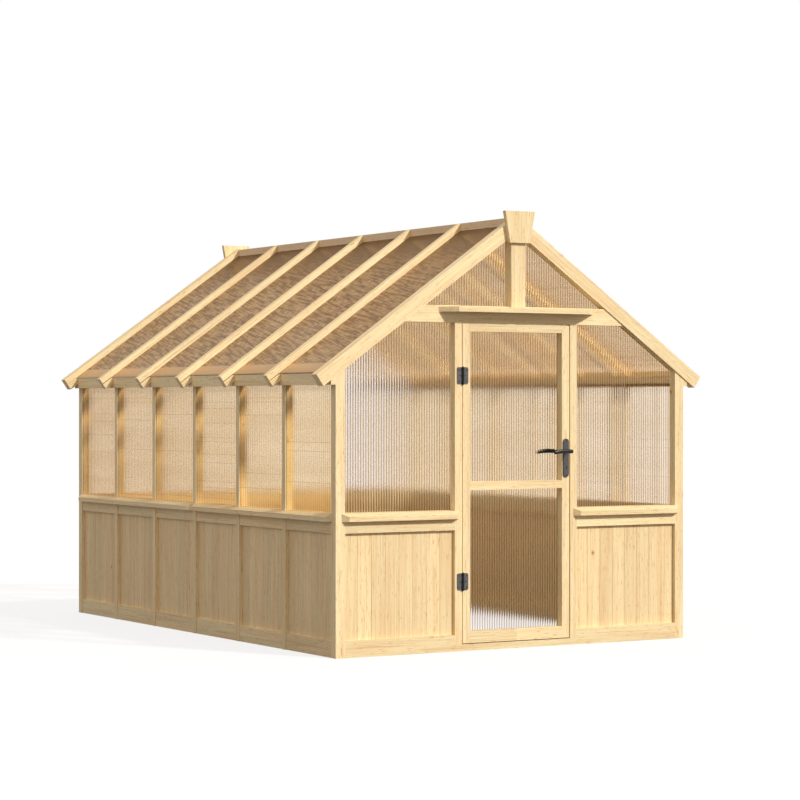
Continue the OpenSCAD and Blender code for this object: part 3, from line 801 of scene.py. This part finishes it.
def on_roof(points):
    """Roof sheets: ribs run up the slope, and the outer face looks at the sky."""
    side = 1 if points[0].x > 0 else -1
    return NORTH * side, Vector((-side * DOWN_SLOPE.x, 0, -DOWN_SLOPE.z))


for node_name, directions, pitch, body in (
        ("front_windows", in_gable, GABLE_PITCH, "building"),
        ("rear_windows", in_gable, GABLE_PITCH, "building"),
        ("gable_windows", in_gable, GABLE_PITCH, "building"),
        ("side_windows", in_side, SIDE_PITCH, "building"),
        ("roof_sheets", on_roof, SIDE_PITCH, "building"),
        ("door_sheets", in_gable, GABLE_PITCH, "door")):
    sheets = ribbed_sheets(node_name, directions, pitch)
    add_piece(sheets, sheet_material, body, node_name)
    print(node_name, "triangles:", sum(len(f.vertices) - 2 for f in sheets.polygons))

# %% [markdown]
# ## Dark steel furniture
#
# The hinges and the back plates of the handle keep their CAD shape. They are pressed
# steel with a sprayed and baked charcoal powder coat: a plastic skin, so it isn't metallic,
# with a fine orange peel. Edges rounded in the mesh would change the CAD shape, so the
# The knuckles and their pins are painted nearly black beside the leaves, a painted dark
# reflection.

# %% Powder coated steel
HINGES = [corners(points) for points in solids("door_hinge_leaves")]
PIVOTS = {joint["name"]: Vector(joint["pos_m"]) for joint in frame["joints"]}
AXIS, SPINDLE = PIVOTS["door_hinge"], PIVOTS["lever_turn"]
print("hinge axis at", [round(v, 4) for v in AXIS], "spindle at", [round(v, 4) for v in SPINDLE])
# The knuckles' near black is a painted dark reflection
KNUCKLE_REFLECTION_DARK = linear("050606")
# Distances from the hinges' axis where the black starts to fade and where it ends
KNUCKLE_REACH = mm(9.2, 10.2)
# From far off the peel only softens the gloss, and it shows in close views
PEEL_SIZE, WEAR_SIZE = mm(1.5, 1.5, 1.5), mm(18, 18, 18)


def powder_coat(name, base, light, roughness, dark_reflection_axis=None, shine=0.5):
    """A sprayed and baked coat with a fine orange peel, and a painted dark reflection round an
    upright axis.
    """
    material, tree = new_material(name)
    place = add_node(tree, "TexCoord").outputs["Object"]
    worn = patches(tree, place, WEAR_SIZE, 0.35, 0.65, detail=3.0)
    colour = add_node(tree, "Mix", [worn, linear(base), linear(light)], **COLOURS)
    if dark_reflection_axis:
        flat = add_node(tree, "VectorMath", [place, (1, 1, 0)], operation="MULTIPLY")
        reach = add_node(tree, "VectorMath", [flat, dark_reflection_axis], operation="DISTANCE")
        knuckle = add_node(tree, "MapRange", [reach, *KNUCKLE_REACH, 1.0, 0.0], **EASED)
        colour = add_node(tree, "Mix", [knuckle, colour, KNUCKLE_REFLECTION_DARK], **COLOURS)
        roughness = add_node(tree, "MapRange", [knuckle, 0.0, 1.0, roughness, 0.9], **EASED)
    counted = add_node(tree, "VectorMath", [place, PEEL_SIZE], operation="DIVIDE")
    peel = add_node(tree, "TexNoise", {"Vector": counted, "Scale": 1.0, "Detail": 2.0})
    rounded = add_node(tree, "Bevel", {"Radius": 1.0 * MM}, samples=4)
    relief = add_node(tree, "Bump", {"Height": peel, "Strength": 0.2, "Distance": 0.2 * MM,
                                     "Normal": rounded})
    surface = add_node(tree, "BsdfPrincipled", {
        "Base Color": colour, "Roughness": roughness, "Normal": relief,
        "Specular IOR Level": shine})
    add_node(tree, "OutputMaterial", {"Surface": surface})
    return material


leaf_coat = powder_coat("charcoal powder coat, hinge", "4C494A", "5A5758", 0.42, AXIS)
plate_coat = powder_coat("charcoal powder coat, plate", "403E3E", "4B4949", 0.42)
for node_name, coat in (("frame_hinge_leaves", leaf_coat), ("door_hinge_leaves", leaf_coat),
                        ("handle_plates", plate_coat)):
    metal = frame["nodes"][node_name].data
    metal.materials.clear()
    metal.materials.append(coat)

# %% [markdown]
# ## Screws
#
# Countersunk screws of blackened steel hold the leaves and the plates. Their dark oxide
# hides the metal, so the same kind of coat does for them, duller. A head is shallow and
# domed, with a six pointed recess. Cutting the recess with a boolean would be slow, so
# rings are drawn round the screw's axis, and the inner ones are waved to make it.

# %% Screw heads
SCREW_HEAD = 4.2 * MM
SCREW_SIDES = 36
# (radius, height, depth of the six lobes), as parts of the head's radius
HEAD_RINGS = ((1.0, 0.0, 0.0), (0.97, 0.06, 0.0), (0.75, 0.14, 0.0), (0.55, 0.17, 0.0),
              (0.44, 0.15, 0.10), (0.40, -0.25, 0.10))


def add_screw(build, centre, outward):
    """One head on a face at centre, which looks outward along y."""
    last = None
    for size, height, lobe in HEAD_RINGS:
        ring = []
        for k in range(SCREW_SIDES):
            turn = 2 * math.pi * k / SCREW_SIDES
            reach = SCREW_HEAD * (size + lobe * math.cos(6 * turn))
            ring.append(build.verts.new(centre + Vector((
                reach * math.cos(turn), outward * SCREW_HEAD * height,
                reach * math.sin(turn)))))
        if last:
            for i in range(SCREW_SIDES):
                build.faces.new((last[i - 1], last[i], ring[i], ring[i - 1]))
        last = ring
    build.faces.new(last)


def screws(name, places):
    """A mesh with one head at each (centre, outward) place."""
    build = bmesh.new()
    for centre, outward in places:
        add_screw(build, centre, outward)
    for face in build.faces:
        face.smooth = True
    return finished_mesh(build, name, sharp_angle=35)


screw_steel = powder_coat("blackened screw steel", "0B0B0C", "131314", 0.55, shine=0.2)
print("screw heads are", 2 * SCREW_HEAD / MM, "mm across")

# %% [markdown]
# ## Where the screws sit
#
# Each hinge leaf has three screws in a shallow zigzag, so that they don't split the wood
# along one line of grain. Each handle plate has one at its top and one at its foot.

# %% Screws on leaves and plates
LEAF_THICKNESS = 3 * MM
# (height from the middle as a share of the hinge, distance from the axis as one of the leaf)
ZIGZAG = ((-0.34, 0.66), (0.0, 0.5), (0.34, 0.66))
PLATE_SCREW_INSET = 11 * MM
leaf_width = HINGES[0][1].x - AXIS.x
for body, side in (("door", 1), ("building", -1)):
    places = []
    for low, high in HINGES:
        for lift, share in ZIGZAG:
            places.append((Vector((
                AXIS.x + side * leaf_width * share, high.y - LEAF_THICKNESS,
                (low.z + high.z) / 2 + lift * (high.z - low.z))), -1))
    add_piece(screws("hinge_screws_" + body, places), screw_steel, body)

outer_plate, inner_plate = sorted((corners(points) for points in solids("handle_plates")),
                                  key=lambda plate: plate[0].y)
places = []
for (low, high), face, outward in ((outer_plate, outer_plate[0].y, -1),
                                   (inner_plate, inner_plate[1].y, 1)):
    for z in (low.z + PLATE_SCREW_INSET, high.z - PLATE_SCREW_INSET):
        places.append((Vector(((low.x + high.x) / 2, face, z)), outward))
add_piece(screws("handle_plate_screws", places), screw_steel, "door")
print("hinges:", len(HINGES), "leaf width in mm:", round(leaf_width / MM, 1))

# %% [markdown]
# ## The lever
#
# Each lever is cast in one body: a round neck out of the plate, then an arm with an oval
# section that swells, droops a little and ends in a full round tip. A box with subdivision
# would round off too much. So ovals are set along the arm through a few stations, and
# shrink like a ball at both ends.

# %% Swept levers
lever_low, lever_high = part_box("door_lever")
LEVER_SIDES = 32
ARM_STEPS = 48
# How far the arm reaches past its spindle, and its half depth there, in mm
PAST_SPINDLE, HALF_DEPTH = 9, 9
# (distance from the spindle towards the hinges, height, half height, half depth), in mm
STATIONS = np.array([(-9, 0, 12, 9), (0, 0, 12, 9), (35, 1.6, 12.7, 8.4), (70, 1.3, 12.6, 7.6),
                     (100, -1.5, 11.6, 6.8), (129, -7.5, 10, 6)])
# How far each end is rounded, in mm, and where along the arm the tip's rounding takes over
SPINDLE_ROUND, TIP_ROUND, MID_ARM = 9, 8, 60
# Keeps the last ovals from shrinking to a point
FINEST_END = 0.0004
# (share of the way from inside the plate to the arm, radius in mm)
NECK = ((0.0, 9.0), (0.25, 9.0), (0.6, 8.0), (1.0, 8.0))
NECK_START = 6 * MM
ARM_END = SPINDLE.x - lever_low.x
TURNS = [2 * math.pi * i / LEVER_SIDES for i in range(LEVER_SIDES)]


def skin(build, rings):
    """Faces between neighbouring rings, and one over each end."""
    for one, two in zip(rings, rings[1:]):
        for i in range(len(one)):
            build.faces.new((one[i - 1], one[i], two[i], two[i - 1]))
    build.faces.new(rings[0][::-1])
    build.faces.new(rings[-1])


def arm_ring(build, share, arm_y):
    """One oval of the arm, at a share of the way from its back end to its tip."""
    along = -PAST_SPINDLE + (ARM_END / MM + PAST_SPINDLE) * share
    height, tall, deep = (np.interp(along, STATIONS[:, 0], STATIONS[:, c]) for c in (1, 2, 3))
    from_end = min(along + PAST_SPINDLE, ARM_END / MM - along)
    round_end = SPINDLE_ROUND if along < MID_ARM else TIP_ROUND
    ease = math.sqrt(max(FINEST_END, 1 - max(0, 1 - from_end / round_end) ** 2))
    return [build.verts.new((SPINDLE.x - along * MM,
                             arm_y + deep * ease * MM * math.cos(turn),
                             SPINDLE.z + (height + tall * ease * math.sin(turn)) * MM))
            for turn in TURNS]


def neck_ring(build, radius, y):
    """A circle round the spindle's axis, with its radius in mm."""
    return [build.verts.new((SPINDLE.x + radius * MM * math.cos(turn), y,
                             SPINDLE.z + radius * MM * math.sin(turn)))
            for turn in TURNS]


def lever_mesh():
    """Both levers and their necks."""
    build = bmesh.new()
    for plate_face, outward, tip in ((outer_plate[0].y, -1, lever_low.y),
                                     (inner_plate[1].y, 1, lever_high.y)):
        arm_y = tip - outward * HALF_DEPTH * MM
        shares = [0.5 - 0.5 * math.cos(math.pi * k / ARM_STEPS) for k in range(ARM_STEPS + 1)]
        skin(build, [arm_ring(build, share, arm_y) for share in shares])
        start_y = plate_face - outward * NECK_START
        skin(build, [neck_ring(build, radius, start_y + (arm_y - start_y) * share)
                     for share, radius in NECK])
    for face in build.faces:
        face.smooth = True
    return finished_mesh(build, "door_lever_swept", sharp_angle=60)


lever_coat = powder_coat("charcoal powder coat, lever", "161617", "1E1E1F", 0.27, shine=0.25)
add_piece(lever_mesh(), lever_coat, "lever", "door_lever")
print("lever reaches", round(ARM_END / MM), "mm from its spindle")

# %% [markdown]
# ## Sizes
#
# The dressing must not change the building's size. The size of the finished model's box is
# printed at the end.

# %% Print the finished size
low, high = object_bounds()
print("visual size in m:", [round(v, 3) for v in high - low])
